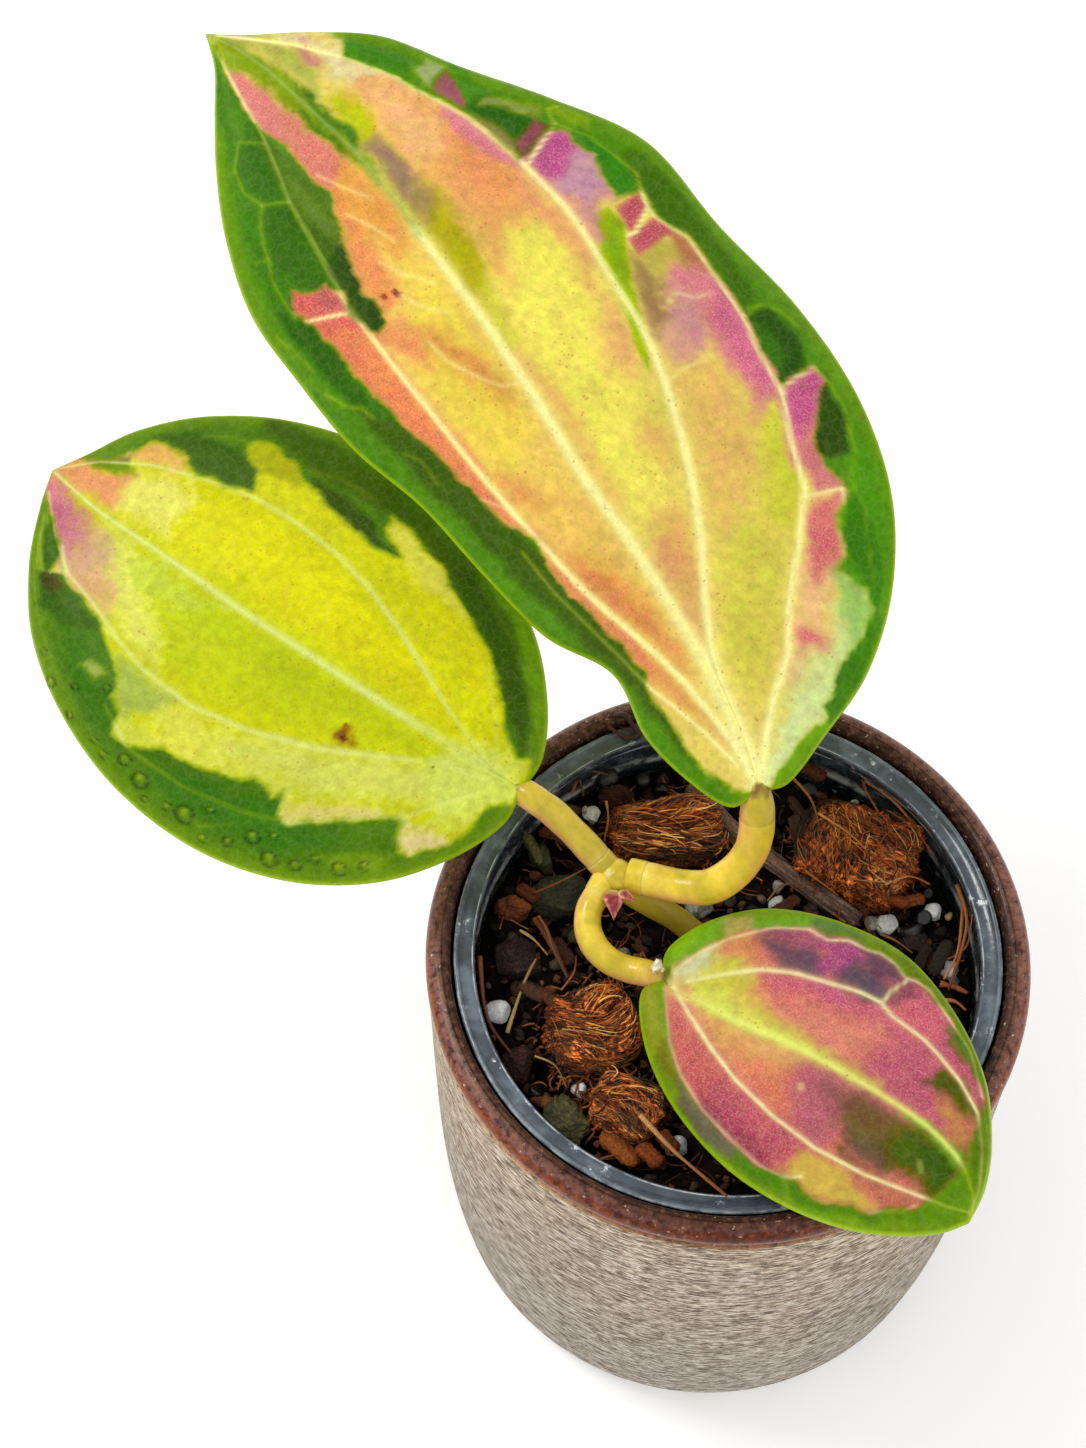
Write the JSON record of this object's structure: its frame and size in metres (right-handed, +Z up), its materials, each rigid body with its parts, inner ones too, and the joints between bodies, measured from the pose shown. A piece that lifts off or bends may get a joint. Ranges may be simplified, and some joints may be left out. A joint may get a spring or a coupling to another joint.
{
  "type": "potted climbing vine",
  "caption": "Young potted wax vine with broad variegated leaves on short stalks, in a plastic nursery pot set inside a glazed stoneware cover pot.",
  "frame": {"origin": "centre of the cover pot's flat underside, on the surface that it stands on", "axes": "+Z up along the pot's axis; -Y faces the viewer of the picture; +X to the viewer's right. The small leaf reaches to +X -Y and the two larger ones to -X +Y."},
  "size_m": [0.1604, 0.1729, 0.1725],
  "materials": {
    "stoneware": "matte",
    "smoky_plastic": "gloss",
    "potting_mix": "matte",
    "coconut_husk": "matte",
    "bark": "matte",
    "grit_stone": "matte",
    "perlite": "matte",
    "stalk": "satin",
    "leaf": "satin",
    "bud": "satin"
  },
  "bodies": {
    "root": {"cover_pot": "stoneware", "nursery_pot": "smoky_plastic", "potting_mix": "potting_mix", "coco_chip_1": "coconut_husk", "coco_chip_2": "coconut_husk", "coco_chip_3": "coconut_husk", "coco_chip_4": "coconut_husk", "grey_stone_1": "grit_stone", "grey_stone_2": "grit_stone", "grey_stone_3": "grit_stone", "grey_stone_4": "grit_stone", "bark_chip_1": "bark", "bark_chip_2": "bark", "bark_chip_3": "bark", "bark_chip_4": "bark", "bark_chip_5": "bark", "perlite_1": "perlite", "perlite_2": "perlite", "perlite_3": "perlite", "perlite_4": "perlite", "perlite_5": "perlite", "perlite_6": "perlite", "perlite_7": "perlite", "perlite_8": "perlite", "twig": "bark", "main_stem": "stalk", "stalk_upper": "stalk", "stalk_left": "stalk", "stalk_front": "stalk", "leaf_upper": "leaf", "leaf_left": "leaf", "leaf_front": "leaf", "growth_bud": "bud"}
  },
  "joints": []
}
